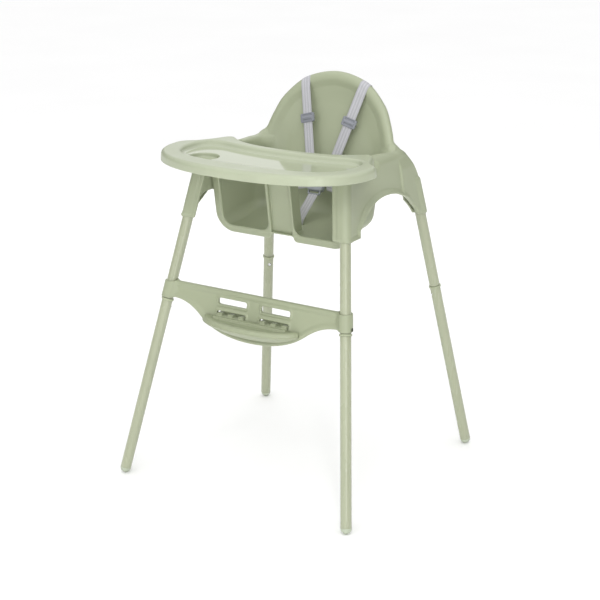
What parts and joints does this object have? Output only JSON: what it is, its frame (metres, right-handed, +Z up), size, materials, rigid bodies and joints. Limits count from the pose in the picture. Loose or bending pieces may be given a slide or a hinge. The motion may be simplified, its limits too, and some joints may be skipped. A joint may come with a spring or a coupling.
{
  "type": "child high chair",
  "caption": "Moulded child's high chair with a slide-on tray, two-section tube legs, a footrest bar with a half-moon step, and a five-point harness.",
  "frame": {"origin": "on the floor, at the middle of the chair's footprint", "axes": "+Z up; -Y is the way the seated child faces; +X is to the right of someone who stands in front of the chair and looks at it"},
  "size_m": [0.6388, 0.6201, 0.9229],
  "materials": {
    "seat_plastic": "satin moulded polypropylene, sage green",
    "tray_plastic": "glossy moulded plastic, sage green",
    "footrest_plastic": "satin moulded plastic, sage green",
    "leg_paint": "semi-gloss powder paint on steel tube, sage green",
    "collar_plastic": "satin plastic, sage green",
    "foot_plastic": "satin plastic, pale sage green",
    "webbing": "woven polyester webbing, light grey",
    "harness_plastic": "satin plastic, light grey",
    "black_plastic": "satin plastic, black",
    "button_steel": "plated steel",
    "spring_steel": "bare spring steel"
  },
  "bodies": {
    "chair": {"seat_shell": "seat_plastic", "leg_upper_front_right": "leg_paint", "leg_lower_front_right": "leg_paint", "joint_collar_front_right": "collar_plastic", "foot_cap_front_right": "foot_plastic", "snap_spring_front_right": "spring_steel", "socket_spring_front_right": "spring_steel", "leg_upper_front_left": "leg_paint", "leg_lower_front_left": "leg_paint", "joint_collar_front_left": "collar_plastic", "foot_cap_front_left": "foot_plastic", "snap_spring_front_left": "spring_steel", "socket_spring_front_left": "spring_steel", "leg_upper_rear_right": "leg_paint", "leg_lower_rear_right": "leg_paint", "joint_collar_rear_right": "collar_plastic", "foot_cap_rear_right": "foot_plastic", "snap_spring_rear_right": "spring_steel", "socket_spring_rear_right": "spring_steel", "leg_upper_rear_left": "leg_paint", "leg_lower_rear_left": "leg_paint", "joint_collar_rear_left": "collar_plastic", "foot_cap_rear_left": "foot_plastic", "snap_spring_rear_left": "spring_steel", "socket_spring_rear_left": "spring_steel", "footrest_bar": "footrest_plastic", "shoulder_strap_right": "webbing", "shoulder_anchor_right": "black_plastic", "buckle_tongue_right": "harness_plastic", "waist_strap_right": "webbing", "waist_anchor_right": "black_plastic", "shoulder_strap_left": "webbing", "shoulder_anchor_left": "black_plastic", "buckle_tongue_left": "harness_plastic", "waist_strap_left": "webbing", "waist_anchor_left": "black_plastic", "crotch_strap": "webbing", "crotch_retainer": "black_plastic", "buckle_body": "harness_plastic"},
    "tray_slider": {"tray": "tray_plastic"},
    "footrest_step": {"footrest_shelf": "footrest_plastic"},
    "buckle_press": {"buckle_button": "harness_plastic"},
    "snap_front_right": {"snap_button_front_right": "button_steel"},
    "socket_lock_front_right": {"socket_button_front_right": "button_steel"},
    "snap_front_left": {"snap_button_front_left": "button_steel"},
    "socket_lock_front_left": {"socket_button_front_left": "button_steel"},
    "snap_rear_right": {"snap_button_rear_right": "button_steel"},
    "socket_lock_rear_right": {"socket_button_rear_right": "button_steel"},
    "snap_rear_left": {"snap_button_rear_left": "button_steel"},
    "socket_lock_rear_left": {"socket_button_rear_left": "button_steel"},
    "adjuster_right": {"shoulder_adjuster_right": "harness_plastic"},
    "adjuster_left": {"shoulder_adjuster_left": "harness_plastic"}
  },
  "joints": [
    {"name": "tray_slide", "type": "slide", "parent": "chair", "child": "tray_slider", "axis": [0, -1, 0], "range_m": [0, 0.075]},
    {"name": "step_pull", "type": "slide", "parent": "chair", "child": "footrest_step", "axis": [0, -1, 0], "range_m": [0, 0.018]},
    {"name": "buckle_push", "type": "slide", "parent": "chair", "child": "buckle_press", "axis": [0, 0.8321, -0.5547], "range_m": [0, 0.003], "stiffness_N_per_m": 1000, "springref_m": -0.001},
    {"name": "snap_push_front_right", "type": "slide", "parent": "chair", "child": "snap_front_right", "axis": [0.7576, -0.5973, 0.2634], "range_m": [0, 0.003], "stiffness_N_per_m": 1200, "springref_m": -0.001, "deforming": ["snap_spring_front_right"]},
    {"name": "socket_push_front_right", "type": "slide", "parent": "chair", "child": "socket_lock_front_right", "axis": [-0.036, -0.9727, 0.2293], "range_m": [0, 0.004], "stiffness_N_per_m": 1200, "springref_m": -0.001, "deforming": ["socket_spring_front_right"]},
    {"name": "snap_push_front_left", "type": "slide", "parent": "chair", "child": "snap_front_left", "axis": [-0.7576, -0.5973, 0.2634], "range_m": [0, 0.003], "stiffness_N_per_m": 1200, "springref_m": -0.001, "deforming": ["snap_spring_front_left"]},
    {"name": "socket_push_front_left", "type": "slide", "parent": "chair", "child": "socket_lock_front_left", "axis": [0.036, -0.9727, 0.2293], "range_m": [0, 0.004], "stiffness_N_per_m": 1200, "springref_m": -0.001, "deforming": ["socket_spring_front_left"]},
    {"name": "snap_push_rear_right", "type": "slide", "parent": "chair", "child": "snap_rear_right", "axis": [0.7138, 0.6642, 0.2222], "range_m": [0, 0.003], "stiffness_N_per_m": 1200, "springref_m": -0.001, "deforming": ["snap_spring_rear_right"]},
    {"name": "socket_push_rear_right", "type": "slide", "parent": "chair", "child": "socket_lock_rear_right", "axis": [-0.025, 0.9851, 0.1703], "range_m": [0, 0.004], "stiffness_N_per_m": 1200, "springref_m": -0.001, "deforming": ["socket_spring_rear_right"]},
    {"name": "snap_push_rear_left", "type": "slide", "parent": "chair", "child": "snap_rear_left", "axis": [-0.7138, 0.6642, 0.2222], "range_m": [0, 0.003], "stiffness_N_per_m": 1200, "springref_m": -0.001, "deforming": ["snap_spring_rear_left"]},
    {"name": "socket_push_rear_left", "type": "slide", "parent": "chair", "child": "socket_lock_rear_left", "axis": [0.025, 0.9851, 0.1703], "range_m": [0, 0.004], "stiffness_N_per_m": 1200, "springref_m": -0.001, "deforming": ["socket_spring_rear_left"]},
    {"name": "adjuster_slide_right", "type": "slide", "parent": "chair", "child": "adjuster_right", "axis": [0.25, 0.283, 0.926], "range_m": [-0.03, 0.03]},
    {"name": "adjuster_slide_left", "type": "slide", "parent": "chair", "child": "adjuster_left", "axis": [-0.25, 0.283, 0.926], "range_m": [-0.03, 0.03]}
  ]
}
